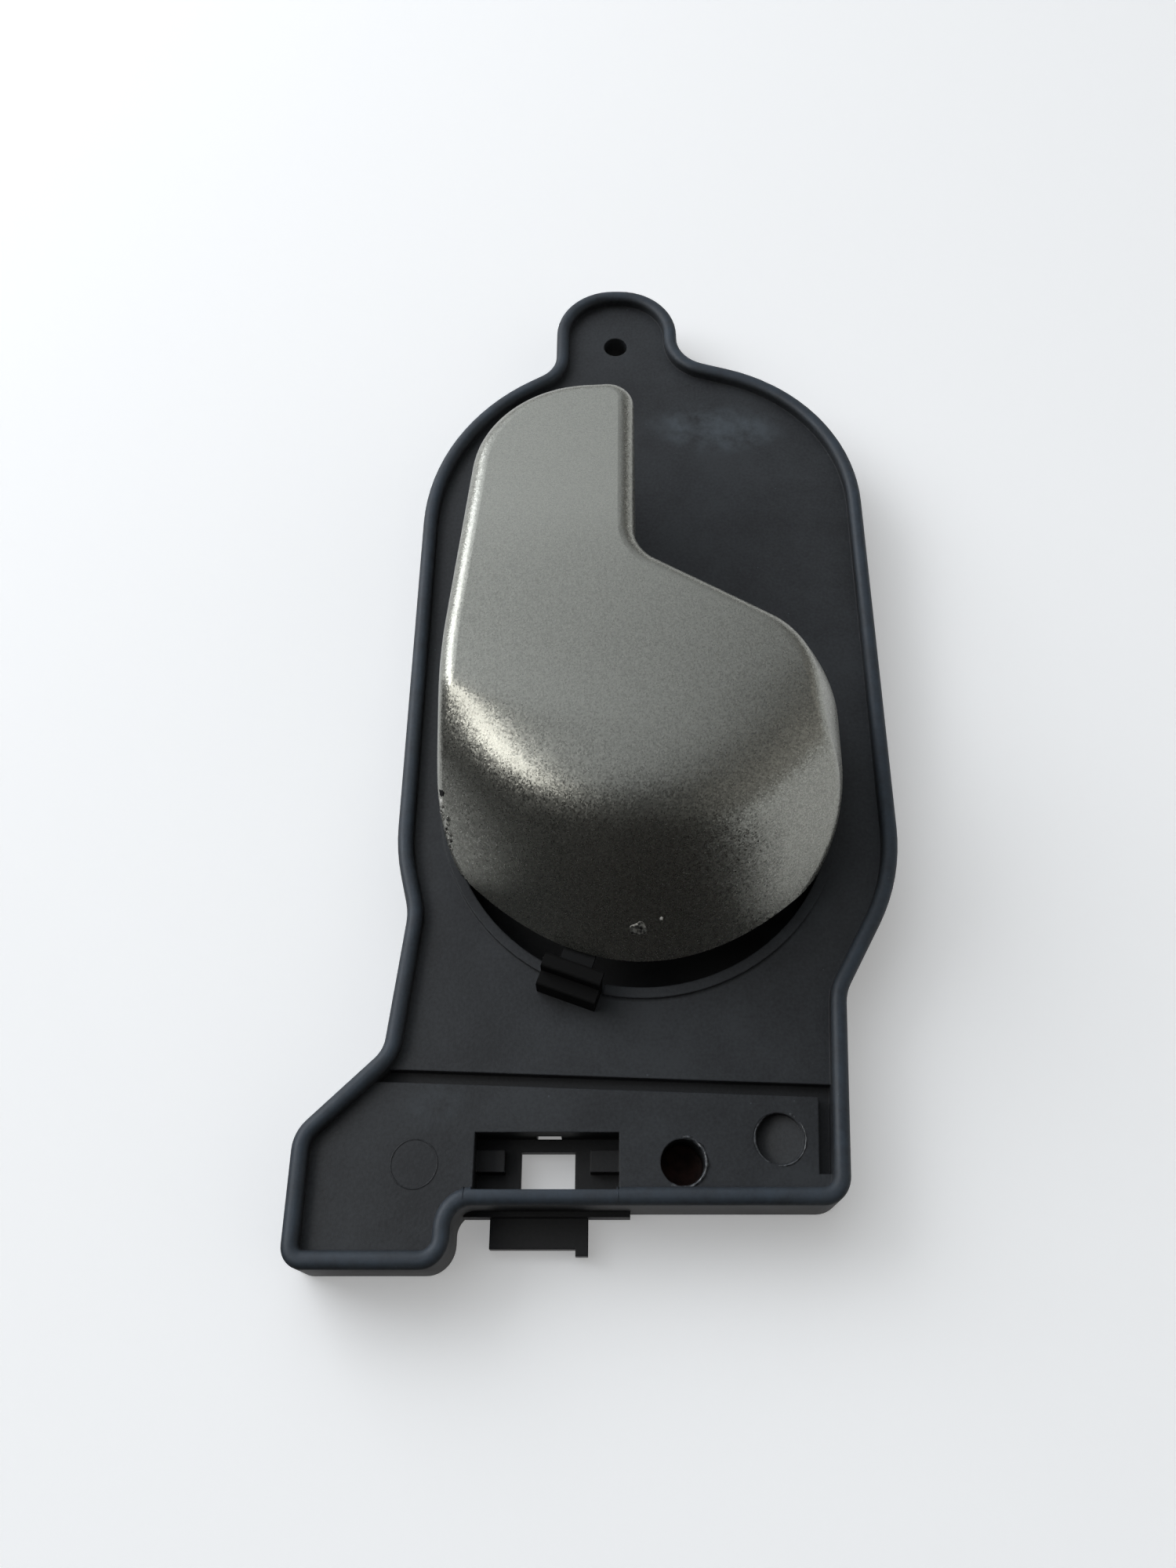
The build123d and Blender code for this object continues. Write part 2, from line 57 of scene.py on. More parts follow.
camera = bpy.data.objects.new("camera", bpy.data.cameras.new("camera"))
scene.collection.objects.link(camera)
scene.camera = camera
camera.location = (0.316 * MM, -93.82 * MM, 192.60 * MM)
camera.rotation_euler = (radians(30), 0, 0)
camera.data.lens = 31.57
camera.data.shift_x = -0.0165
camera.data.shift_y = -0.1062
camera.data.clip_start = 0.005


def linear(colour):
    """Linear colour of an sRGB hex value."""
    parts = [int(colour[i:i + 2], 16) / 255 for i in (1, 3, 5)]
    return [v / 12.92 if v <= 0.04045 else ((v + 0.055) / 1.055) ** 2.4 for v in parts] + [1.0]


def add_node(owner, kind, values=None, links=None, **settings):
    """One shader node: its settings, the values on its sockets and what is linked to them."""
    made = owner.node_tree.nodes.new(kind)
    for name, value in settings.items():
        setattr(made, name, value)
    for socket, value in (values or {}).items():
        made.inputs[socket].default_value = value
    for socket, source in (links or {}).items():
        owner.node_tree.links.new(source, made.inputs[socket])
    return made


def new_material(name):
    """Empty node material."""
    made = bpy.data.materials.new(name)
    made.use_nodes = True
    made.node_tree.nodes.clear()
    return made


def new_piece(name, points, faces, material, smooth=True):
    """Mesh object from its points and faces."""
    mesh = bpy.data.meshes.new(name)
    mesh.from_pydata([tuple(point) for point in points], [], faces)
    mesh.polygons.foreach_set("use_smooth", [smooth] * len(mesh.polygons))
    mesh.materials.append(material)
    piece = bpy.data.objects.new(name, mesh)
    scene.collection.objects.link(piece)
    return piece


def softbox(name, place, aim, width, height, watts, colour):
    """Rectangular lamp turned towards a point."""
    lamp = bpy.data.lights.new(name, "AREA")
    lamp.shape = "RECTANGLE"
    lamp.size = width
    lamp.size_y = height
    lamp.energy = watts
    lamp.color = linear(colour)[:3]
    holder = bpy.data.objects.new(name, lamp)
    holder.location = place
    holder.rotation_euler = (Vector(aim) - Vector(place)).to_track_quat("-Z", "Y").to_euler()
    scene.collection.objects.link(holder)
    return holder


softbox("window_back", place=(-0.46, 0.29, 0.32), aim=(0, -0.02, 0.01), width=0.50, height=0.40,
        watts=1.8, colour="#f6f9ff")
window_left = softbox("window_left", place=(-0.42, -0.02, 0.42), aim=(-0.01, -0.01, 0.02), width=0.44,
                      height=0.20, watts=1.7, colour="#fffdf9")
window_left.visible_diffuse = False

# The room: bright sky behind and to the left, a pale wall at the right, dim at the front.
world = bpy.data.worlds.new("room")
world.use_nodes = True
world.node_tree.nodes.clear()
bearing = add_node(world, "ShaderNodeTexCoord")
dimmest = 0.02
bright_sky = ((-0.55, 0.65, 0.52), 0.2, 1.8, "#ebf0f6")
pale_wall = ((0.93, -0.05, 0.37), 0.4, 0.5, "#f4f1ec")
glow = None
for toward, start, full, colour in (bright_sky, pale_wall):
    facing = add_node(world, "ShaderNodeVectorMath", {1: toward}, {0: bearing.outputs["Generated"]},
                      operation="DOT_PRODUCT")
    share = add_node(world, "ShaderNodeMapRange", {"From Min": start, "From Max": 1.0},
                     {"Value": facing.outputs["Value"]})
    fall = add_node(world, "ShaderNodeMath", {1: 2.0}, {0: share.outputs["Result"]}, operation="POWER")
    level = add_node(world, "ShaderNodeMath", {1: full, 2: dimmest}, {0: fall.outputs[0]},
                     operation="MULTIPLY_ADD")
    lobe = add_node(world, "ShaderNodeBackground", {"Color": linear(colour)}, {"Strength": level.outputs[0]})
    glow = lobe if glow is None else add_node(world, "ShaderNodeAddShader",
                                              links={0: glow.outputs[0], 1: lobe.outputs[0]})
add_node(world, "ShaderNodeOutputWorld", links={"Surface": glow.outputs[0]})
scene.world = world

# Laminate: matt and even, it holds a soft shadow and mirrors nothing. A lift for the rays that look at it
# makes it whiter to the eye and adds no diffuse light on the handle.
table_paint = new_material("matt white laminate")
ray = add_node(table_paint, "ShaderNodeLightPath")
seen = ray.outputs["Is Camera Ray"]
for kind in ("Is Glossy Ray", "Is Transmission Ray"):
    seen = add_node(table_paint, "ShaderNodeMath", links={0: seen, 1: ray.outputs[kind]},
                    operation="MAXIMUM").outputs[0]
whiter = add_node(table_paint, "ShaderNodeMath", {1: 0.25}, {0: seen}, operation="MULTIPLY")
table_look = add_node(table_paint, "ShaderNodeBsdfPrincipled",
                      {"Base Color": linear("#fbfbfa"), "Roughness": 0.8, "Specular IOR Level": 0.2,
                       "Emission Color": linear("#ffffff")}, {"Emission Strength": whiter.outputs[0]})
add_node(table_paint, "ShaderNodeOutputMaterial", links={"Surface": table_look.outputs[0]})
reach = 4.0
wall_height = 1.3
corners = [(-reach, -reach), (reach, -reach), (reach, reach), (-reach, reach)]
table = new_piece("table", [(x, y, 0) for x, y in corners], [(0, 1, 2, 3)], table_paint)
table.location.z = -0.02 * MM
backdrop = new_piece("backdrop", [(x, y, z) for z in (0, wall_height) for x, y in corners],
                     [(i, i + 4, (i + 1) % 4 + 4, (i + 1) % 4) for i in range(4)], table_paint, False)

# Felt: deep brown and quite dull, it shows only as a dark shape in the lever's gloss.
card_felt = new_material("dark brown felt")
felt_look = add_node(card_felt, "ShaderNodeBsdfPrincipled",
                     {"Base Color": linear("#1d1613"), "Roughness": 0.9, "Specular IOR Level": 0.1})
add_node(card_felt, "ShaderNodeOutputMaterial", links={"Surface": felt_look.outputs[0]})
card = new_piece("dark_card", [(-0.12, 0.02, 0.0), (-0.045, -0.084, 0.0), (0.085, -0.078, 0.0),
                               (0.13, -0.35, 0.36), (-0.16, -0.33, 0.36), (-0.34, -0.05, 0.12)],
                 [(0, 1, 4, 5), (1, 2, 3, 4)], card_felt, False)
card.visible_camera = False
card.visible_diffuse = False
card.visible_shadow = False


# Base plate: one moulding in black ABS, its floor spark-eroded in the mould to a fine satin grain.
# It screws to the door through the tab, and the snap tongue below the window slips under the trim.
# ABS: a fine grain that breaks the sheen, and the grey film of years in a door; a painted blue-grey sheen in
# streaks on the top of the rim, and painted shade deep in the well. The grain is some 0.1 mm and is drawn at
# 0.45 mm to show.
abs_black = new_material("moulded black ABS")
place = add_node(abs_black, "ShaderNodeTexCoord")
grain = add_node(abs_black, "ShaderNodeTexNoise", {"Scale": 1 / (0.45 * MM), "Detail": 3.0, "Roughness": 0.6},
                 {"Vector": place.outputs["Object"]})
cloud = add_node(abs_black, "ShaderNodeTexNoise", {"Scale": 1 / (14 * MM), "Detail": 5.0, "Roughness": 0.6},
                 {"Vector": place.outputs["Object"]})
wipe = add_node(abs_black, "ShaderNodeTexNoise", {"Scale": 1 / (4 * MM), "Detail": 4.0, "Roughness": 0.65},
                {"Vector": place.outputs["Object"]})
smears = ((17.5, 49.5, 14.0, 6.5, -4, 1.0), (-22.5, -59.5, 5.0, 4.0, 20, 0.35),
          (24.0, -25.0, 9.0, 16.0, 0, 0.5))
film = None
for x, y, long, wide, tilt, dense in smears:
    smear = add_node(abs_black, "ShaderNodeMapping",
                    {"Location": (x * MM, y * MM, 0), "Rotation": (0, 0, radians(tilt)),
                     "Scale": (long * MM, wide * MM, 1.0)},
                    {"Vector": place.outputs["Object"]}, vector_type="TEXTURE")
    away = add_node(abs_black, "ShaderNodeVectorMath", links={0: smear.outputs["Vector"]}, operation="LENGTH")
    fade = add_node(abs_black, "ShaderNodeMapRange",
                    {"From Min": 1.0, "From Max": 0.35, "To Min": 0.0, "To Max": dense},
                    {"Value": away.outputs["Value"]}, interpolation_type="SMOOTHSTEP")
    film = fade if film is None else add_node(abs_black, "ShaderNodeMath", operation="MAXIMUM",
                                              links={0: film.outputs[0], 1: fade.outputs[0]})
patchy = add_node(abs_black, "ShaderNodeMapRange",
                  {"From Min": 0.36, "From Max": 0.66, "To Min": 0.0, "To Max": 1.0},
                  {"Value": wipe.outputs["Fac"]})
haze = add_node(abs_black, "ShaderNodeMath", links={0: film.outputs[0], 1: patchy.outputs["Result"]},
                operation="MULTIPLY")
mottle = add_node(abs_black, "ShaderNodeMath", {1: 0.5},
                  {0: grain.outputs["Fac"], 2: cloud.outputs["Fac"]}, operation="MULTIPLY_ADD")
tone = add_node(abs_black, "ShaderNodeValToRGB", links={"Fac": mottle.outputs[0]})
tone.color_ramp.elements[0].position = 0.58
tone.color_ramp.elements[0].color = linear("#202225")
tone.color_ramp.elements[1].position = 0.92
tone.color_ramp.elements[1].color = linear("#323538")
specks = add_node(abs_black, "ShaderNodeTexVoronoi", {"Scale": 1 / (3.2 * MM)},
                  {"Vector": place.outputs["Object"]})
dust = add_node(abs_black, "ShaderNodeMapRange",
                {"From Min": 0.045, "From Max": 0.03, "To Min": 0.0, "To Max": 0.5},
                {"Value": specks.outputs["Distance"]})
pale = add_node(abs_black, "ShaderNodeMath", links={0: haze.outputs[0], 1: dust.outputs["Result"]},
                operation="MAXIMUM")
height = add_node(abs_black, "ShaderNodeSeparateXYZ", links={"Vector": place.outputs["Object"]})
# Painted sheen: from 9.2 mm up, on the top of the rim bead, the plate turns a paler blue-grey in streaks,
# standing in for a cool reflection.
rim_sheen_mask = add_node(abs_black, "ShaderNodeMapRange",
                  {"From Min": 9.2 * MM, "From Max": 10.1 * MM, "To Min": 0.0, "To Max": 0.9},
                  {"Value": height.outputs["Z"]})
streaky = add_node(abs_black, "ShaderNodeMapRange",
                   {"From Min": 0.3, "From Max": 0.65, "To Min": 0.35, "To Max": 1.0},
                   {"Value": wipe.outputs["Fac"]})
painted_rim_sheen = add_node(abs_black, "ShaderNodeMath",
                   links={0: rim_sheen_mask.outputs["Result"], 1: streaky.outputs["Result"]}, operation="MULTIPLY")
# Sockets 6 and 7 of a mix of colours are its two colours, 0 is the share of the second.
edge = add_node(abs_black, "ShaderNodeMix", {7: linear("#3b4651")},
                {0: painted_rim_sheen.outputs[0], 6: tone.outputs["Color"]}, data_type="RGBA")
# Painted shade: below the floor the plate's colour darkens, most from 5 mm down, for the shade in the well.
sunken = add_node(abs_black, "ShaderNodeMapRange",
                  {"From Min": 7.5 * MM, "From Max": 5.0 * MM, "To Min": 0.0, "To Max": 0.8},
                  {"Value": height.outputs["Z"]})
painted_well_shade = add_node(abs_black, "ShaderNodeMix", {7: linear("#0e0e0f")},
                 {0: sunken.outputs["Result"], 6: edge.outputs[2]}, data_type="RGBA")
coat = add_node(abs_black, "ShaderNodeMix", {7: linear("#4c5358")},
                {0: pale.outputs[0], 6: painted_well_shade.outputs[2]}, data_type="RGBA")
sheen = add_node(abs_black, "ShaderNodeMapRange",
                 {"From Min": 0.3, "From Max": 0.75, "To Min": 0.5, "To Max": 0.64},
                 {"Value": cloud.outputs["Fac"]})
worn = add_node(abs_black, "ShaderNodeMath", {1: 0.18}, {0: haze.outputs[0], 2: sheen.outputs["Result"]},
                operation="MULTIPLY_ADD")
soft_edge = add_node(abs_black, "ShaderNodeBevel", {"Radius": 0.25 * MM}, samples=4)
bump = add_node(abs_black, "ShaderNodeBump", {"Strength": 0.5, "Distance": 0.05 * MM},
                {"Height": grain.outputs["Fac"], "Normal": soft_edge.outputs["Normal"]})
abs_look = add_node(abs_black, "ShaderNodeBsdfPrincipled", {"IOR": 1.5, "Specular IOR Level": 0.32},
                    {"Base Color": coat.outputs[2], "Roughness": worn.outputs[0],
                     "Normal": bump.outputs["Normal"]})
add_node(abs_black, "ShaderNodeOutputMaterial", links={"Surface": abs_look.outputs[0]})


def dress(name, *materials):
    """Solid of the frame in its own materials."""
    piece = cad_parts[name]
    piece.data.materials.clear()
    for material in materials:
        piece.data.materials.append(material)
    return piece


dress("base_plate", abs_black)


# Marks that the mould left on the lower panel: the ring of an ejector pin and the torn lips of the two
# core holes, where the plastic is stretched pale, with old dirt at the bottom of the deeper hole.
# Stretched ABS: pale streaks in the black, smoother and shinier than the grained floor.
floor_level = 8.0 * MM
torn_abs = new_material("stretched black ABS")
place = add_node(torn_abs, "ShaderNodeTexCoord")
tear = add_node(torn_abs, "ShaderNodeTexNoise", {"Scale": 1 / (0.5 * MM), "Detail": 3.0},
                {"Vector": place.outputs["Object"]})
tear_tone = add_node(torn_abs, "ShaderNodeValToRGB", links={"Fac": tear.outputs["Fac"]})
tear_tone.color_ramp.elements[0].position = 0.4
tear_tone.color_ramp.elements[0].color = linear("#1b1d1f")
tear_tone.color_ramp.elements[1].position = 0.75
tear_tone.color_ramp.elements[1].color = linear("#64676a")
torn_look = add_node(torn_abs, "ShaderNodeBsdfPrincipled", {"Roughness": 0.32, "IOR": 1.5},
                     {"Base Color": tear_tone.outputs["Color"]})
add_node(torn_abs, "ShaderNodeOutputMaterial", links={"Surface": torn_look.outputs[0]})


def lip(name, x, y, radius, width, height, ragged, side, material):
    """Low raised ring on the floor; a ragged one is highest towards one side."""
    segments = 56
    sunk = 0.08 * MM
    points = []
    for step in range(segments):
        angle = 2 * pi * step / segments
        way = Vector((cos(angle), sin(angle), 0))
        rough = noise.noise(way * 3.0 + Vector((x, y, 0)) * 0.7)
        rise = height * (1 - ragged + ragged * (cos(angle - side) + 1.1 * rough))
        spread = width * (1 + ragged * 0.8 * rough)
        middle = Vector((x * MM, y * MM, floor_level)) + way * radius
        top = Vector((0, 0, max(rise, -sunk / 2)))
        points += [middle - way * spread - Vector((0, 0, sunk)), middle - way * spread * 0.4 + top,
                   middle + way * spread * 0.4 + top, middle + way * spread - Vector((0, 0, sunk))]
    faces = []
    for step in range(segments):
        here = 4 * step
        there = 4 * ((step + 1) % segments)
        faces += [(here + i, here + (i + 1) % 4, there + (i + 1) % 4, there + i) for i in range(4)]
    ring = new_piece(name, points, faces, material)
    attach(ring, "base")


lip("ejector_ring", -24.9, -66.8, 2.95 * MM, 0.16 * MM, 0.06 * MM, 0.0, 0.0, abs_black)
hole_x = 9.0
hole_y = -66.6
lip("core_hole_lip", hole_x, hole_y, 3.04 * MM, 0.24 * MM, 0.24 * MM, 1.0, radians(-15), torn_abs)
lip("dimple_lip", 21.5, -63.75, 3.28 * MM, 0.17 * MM, 0.1 * MM, 1.0, radians(-40), torn_abs)


def heap_faces(rings, spokes):
    """Faces of a heap: its points are the top, then rings of points outward, the last one its flat bottom."""
    faces = [(0, 1 + i, 1 + (i + 1) % spokes) for i in range(spokes)]
    for ring in range(rings - 1):
        for spoke in range(spokes):
            here = 1 + ring * spokes + spoke
            there = 1 + ring * spokes + (spoke + 1) % spokes
            faces.append((here, here + spokes, there + spokes, there))
    bottom = 1 + (rings - 1) * spokes
    faces.append(tuple(reversed(range(bottom, bottom + spokes))))
    return faces


# Dust: brown and dead matt, in lumps, so that the hole has a bottom to the eye.
old_dirt = new_material("packed door dust")
place = add_node(old_dirt, "ShaderNodeTexCoord")
lump_size = 1.6 * MM
clod = add_node(old_dirt, "ShaderNodeTexNoise", {"Scale": 1 / lump_size, "Detail": 3.0},
                {"Vector": place.outputs["Object"]})
dirt_tone = add_node(old_dirt, "ShaderNodeValToRGB", links={"Fac": clod.outputs["Fac"]})
dirt_tone.color_ramp.elements[0].position = 0.35
dirt_tone.color_ramp.elements[0].color = linear("#1b1210")
dirt_tone.color_ramp.elements[1].position = 0.7
dirt_tone.color_ramp.elements[1].color = linear("#3a2620")
dirt_look = add_node(old_dirt, "ShaderNodeBsdfPrincipled", {"Roughness": 0.85, "Specular IOR Level": 0.2},
                     {"Base Color": dirt_tone.outputs["Color"]})
add_node(old_dirt, "ShaderNodeOutputMaterial", links={"Surface": dirt_look.outputs[0]})
hole_floor = 1.6 * MM
dirt_radius = 2.78 * MM
rings = 6
spokes = 28
points = [Vector((hole_x * MM, hole_y * MM, hole_floor + 1.1 * MM))]
for ring in range(1, rings + 1):
    for spoke in range(spokes):
        angle = 2 * pi * spoke / spokes
        out = dirt_radius * ring / rings
        spot = Vector((hole_x * MM + out * cos(angle), hole_y * MM + out * sin(angle), 0))
        heap = 1.0 + 0.5 * noise.noise(spot / lump_size) + 0.8 * (ring / rings) ** 3
        points.append(spot + Vector((0, 0, hole_floor + heap * MM)))
points += [Vector((point.x, point.y, hole_floor)) for point in points[-spokes:]]
dirt = new_piece("hole_dirt", points, heap_faces(rings + 1, spokes), old_dirt)
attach(dirt, "base")


# Flash: a thin fin of the plate's own ABS over the rim at each end of the window. It was squeezed out
# where two blocks of the mould met, and was never trimmed.
bead_y = -70.7 * MM
bead_z = 8.9 * MM
bead_radius = 1.1 * MM
fin_height = 0.13 * MM
fin_half = Vector((0.16 * MM, 0, 0))
stations = 14
for name, x in (("flash_left", -18.4), ("flash_right", 0.8)):
    points = []
    faces = []
    for step in range(stations + 1):
        angle = radians(12 + 156 * step / stations)
        rim = Vector((x * MM, bead_y + bead_radius * cos(angle), bead_z + bead_radius * sin(angle)))
        up = Vector((0, cos(angle), sin(angle))) * fin_height * sin(pi * step / stations)
        points += [rim - fin_half - up, rim + up, rim + fin_half - up]
        if step:
            k = 3 * step
            faces += [(k - 3 + i, k + i, k + (i + 1) % 3, k - 3 + (i + 1) % 3) for i in range(3)]
    faces += [(0, 1, 2), (k + 2, k + 1, k)]
    fin = new_piece(name, points, faces, abs_black)
    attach(fin, "base")


# Pull lever: a hollow ABS moulding with a sprayed coat of silver metallic paint on its outside only.
# Its barrels grip the pin, the fingers go behind its long arm, and its inside is bare plastic.
# Metallic paint: aluminium flakes in a satin lacquer, a fine sparkle, light where it mirrors a window
# and dark where it mirrors the room. Flakes are some 0.05 mm and are drawn at 0.17 mm to show.
silver_paint = new_material("sprayed silver metallic paint")
place = add_node(silver_paint, "ShaderNodeTexCoord")
flake = add_node(silver_paint, "ShaderNodeTexVoronoi", {"Scale": 1 / (0.17 * MM)},
                 {"Vector": place.outputs["Object"]})
spark = add_node(silver_paint, "ShaderNodeSeparateColor", links={"Color": flake.outputs["Color"]})
flake_tone = add_node(silver_paint, "ShaderNodeValToRGB", links={"Fac": spark.outputs["Red"]})
flake_tone.color_ramp.elements[0].color = linear("#82827c")
flake_tone.color_ramp.elements[1].color = linear("#a0a098")
spray = add_node(silver_paint, "ShaderNodeTexNoise",
                 {"Scale": 1 / (0.6 * MM), "Detail": 3.0, "Roughness": 0.7},
                 {"Vector": place.outputs["Object"]})
gloss = add_node(silver_paint, "ShaderNodeMapRange",
                 {"From Min": 0.0, "From Max": 1.0, "To Min": 0.25, "To Max": 0.37},
                 {"Value": spark.outputs["Green"]})
bump = add_node(silver_paint, "ShaderNodeBump", {"Strength": 0.3, "Distance": 0.02 * MM},
                {"Height": spray.outputs["Fac"]})
lean = add_node(silver_paint, "ShaderNodeVectorMath", {1: (0.5, 0.5, 0.5)}, {0: flake.outputs["Color"]},
                operation="SUBTRACT")
tilted = add_node(silver_paint, "ShaderNodeVectorMath", {1: (0.13, 0.13, 0.13)},
                  {0: lean.outputs["Vector"], 2: bump.outputs["Normal"]}, operation="MULTIPLY_ADD")
facet = add_node(silver_paint, "ShaderNodeVectorMath", links={0: tilted.outputs["Vector"]},
                 operation="NORMALIZE")
silver_look = add_node(silver_paint, "ShaderNodeBsdfPrincipled", {"Metallic": 0.9},
                       {"Base Color": flake_tone.outputs["Color"], "Roughness": gloss.outputs["Result"],
                        "Normal": facet.outputs["Vector"]})
add_node(silver_paint, "ShaderNodeOutputMaterial", links={"Surface": silver_look.outputs[0]})

# Bare ABS: the same plastic as moulded, dull and clean, where the spray gun did not reach.
bare_abs = new_material("bare black ABS")
place = add_node(bare_abs, "ShaderNodeTexCoord")
flow = add_node(bare_abs, "ShaderNodeTexNoise", {"Scale": 1 / (6 * MM), "Detail": 4.0},
                {"Vector": place.outputs["Object"]})
dull = add_node(bare_abs, "ShaderNodeMapRange", {"To Min": 0.5, "To Max": 0.7},
                {"Value": flow.outputs["Fac"]})
bare_look = add_node(bare_abs, "ShaderNodeBsdfPrincipled",
                     {"Base Color": linear("#0f1011"), "IOR": 1.5, "Specular IOR Level": 0.15},
                     {"Roughness": dull.outputs["Result"]})
add_node(bare_abs, "ShaderNodeOutputMaterial", links={"Surface": bare_look.outputs[0]})

lever = dress("lever", silver_paint, bare_abs)
skirt_edge = 12.7 * MM
skin = BVHTree.FromObject(lever, bpy.context.evaluated_depsgraph_get())
for face in lever.data.polygons:
    shut_in = skin.ray_cast(face.center + face.normal * 0.1 * MM, face.normal)[0] is not None
    painted = face.normal.z > -0.3 and face.center.z > skirt_edge and not shut_in
    face.material_index = 0 if painted else 1


# Wear of the paint: a burst blister low on the front, a white crumb beside it and a row of chips along
# the left foot of the skirt, where the coat has lifted in flakes. A nick marks the edge above them.
front_y = -90.0
left_x = -60.0
from_front = (0, 1, 0)
from_left = (1, 0, 0)


def on_skin(start, way, turn):
    """Place on the lever that a line meets, with its outward normal as the place's own z."""
    spot, normal, _, _ = skin.ray_cast(Vector(start) * MM, Vector(way))
    upright = normal.to_track_quat("Z", "Y").to_matrix().to_4x4()
    return Matrix.Translation(spot) @ upright @ Matrix.Rotation(turn, 4, "Z")


def crust(name, seat, size, relief, sharp, material):
    """Small lump that fades into the skin round it: relief gives its height from middle to edge."""
    spokes = 26
    levels = len(relief)
    points = [seat @ Vector((0, 0, relief[0] * MM))]
    for level in range(1, levels):
        for spoke in range(spokes):
            angle = 2 * pi * spoke / spokes
            way = Vector((cos(angle), sin(angle), 0))
            jag = 1 + sharp * noise.noise(way * 1.7 + Vector((0, 0, size * 9 + level * 0.25)))
            grit = sharp * 0.04 * noise.noise(way * 3.1 * level + Vector((0, 0, size)))
            sink = 0.0 if level < levels - 1 else 0.12
            height = Vector((0, 0, relief[level] + grit - sink))
            points.append(seat @ ((way * size * jag * level / (levels - 1) + height) * MM))
    lump = new_piece(name, points, heap_faces(levels - 1, spokes), material)
    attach(lump, "pull_lever")


# Lifted paint: broken silver flakes with the black plastic showing between them, rougher than the whole coat.
chipped = new_material("lifted silver paint")
place = add_node(chipped, "ShaderNodeTexCoord")
broken = add_node(chipped, "ShaderNodeTexNoise", {"Scale": 1 / (0.4 * MM), "Detail": 3.0},
                  {"Vector": place.outputs["Object"]})
lift_tone = add_node(chipped, "ShaderNodeValToRGB", links={"Fac": broken.outputs["Fac"]})
lift_tone.color_ramp.elements[0].position = 0.42
lift_tone.color_ramp.elements[0].color = linear("#22211f")
lift_tone.color_ramp.elements[1].position = 0.62
lift_tone.color_ramp.elements[1].color = linear("#96958e")
chip_look = add_node(chipped, "ShaderNodeBsdfPrincipled", {"Metallic": 0.5, "Roughness": 0.5},
                     {"Base Color": lift_tone.outputs["Color"]})
add_node(chipped, "ShaderNodeOutputMaterial", links={"Surface": chip_look.outputs[0]})
crust("blister", on_skin((3.6, front_y, 16.6), from_front, 0.4), size=1.25,
      relief=(0.02, 0.05, 0.2, 0.26, 0.14, 0.05, 0.0), sharp=0.35, material=chipped)

# Plaster: chalk white and powdery, with no shine.
white_grit = new_material("white plaster crumb")
place = add_node(white_grit, "ShaderNodeTexCoord")
powder = add_node(white_grit, "ShaderNodeTexNoise", {"Scale": 1 / (0.15 * MM)},
                  {"Vector": place.outputs["Object"]})
powder_tone = add_node(white_grit, "ShaderNodeValToRGB", links={"Fac": powder.outputs["Fac"]})
powder_tone.color_ramp.elements[0].color = linear("#b9b6ae")
powder_tone.color_ramp.elements[1].color = linear("#efece4")
grit_look = add_node(white_grit, "ShaderNodeBsdfPrincipled", {"Roughness": 0.9},
                     {"Base Color": powder_tone.outputs["Color"]})
add_node(white_grit, "ShaderNodeOutputMaterial", links={"Surface": grit_look.outputs[0]})
crust("crumb", on_skin((6.5, front_y, 17.8), from_front, 0.0), size=0.3, relief=(0.14, 0.12, 0.06, 0.0),
      sharp=0.6, material=white_grit)
chips = 13
for chip in range(chips):
    along = chip / (chips - 1)
    wander = noise.noise(Vector((chip * 1.37, 0.3, 0.0)))
    seat = on_skin((left_x, -22.9 - 4.6 * along, 18.6 - 4.0 * along + 1.1 * wander), from_left, 2.1 * chip)
    crust(f"chip_{chip + 1}", seat, size=0.34 + 0.3 * abs(wander), relief=(0.1, 0.13, 0.08, 0.0), sharp=0.9,
          material=chipped)
crust("nick", on_skin((left_x, -21.6, 20.2), from_left, 0.3), size=0.65, relief=(0.05, 0.06, 0.06, 0.0),
      sharp=0.5, material=bare_abs)
crust("nick_flake", on_skin((left_x, -22.4, 19.2), from_left, 0.3), size=0.4, relief=(0.18, 0.16, 0.1, 0.0),
      sharp=0.4, material=white_grit)


# Pivot pin: drawn steel wire cut to length, pushed through the lever's barrels and the plate's ears.
# Only its left end shows, flush in the side of the lever.
# Drawn steel: bright, with streaks along the wire, which are finer than the 0.2 mm they are drawn at to show.
pin_steel = new_material("drawn steel")
place = add_node(pin_steel, "ShaderNodeTexCoord")
streak = add_node(pin_steel, "ShaderNodeMapping", {"Scale": (0.05, 1, 1)},
                  {"Vector": place.outputs["Object"]})
drawn = add_node(pin_steel, "ShaderNodeTexNoise", {"Scale": 1 / (0.2 * MM), "Detail": 2.0},
                 {"Vector": streak.outputs["Vector"]})
polish = add_node(pin_steel, "ShaderNodeMapRange", {"To Min": 0.22, "To Max": 0.42},
                  {"Value": drawn.outputs["Fac"]})
steel_look = add_node(pin_steel, "ShaderNodeBsdfPrincipled",
                      {"Base Color": linear("#c9c8c4"), "Metallic": 1.0},
                      {"Roughness": polish.outputs["Result"]})
add_node(pin_steel, "ShaderNodeOutputMaterial", links={"Surface": steel_look.outputs[0]})
dress("pivot_pin", pin_steel)


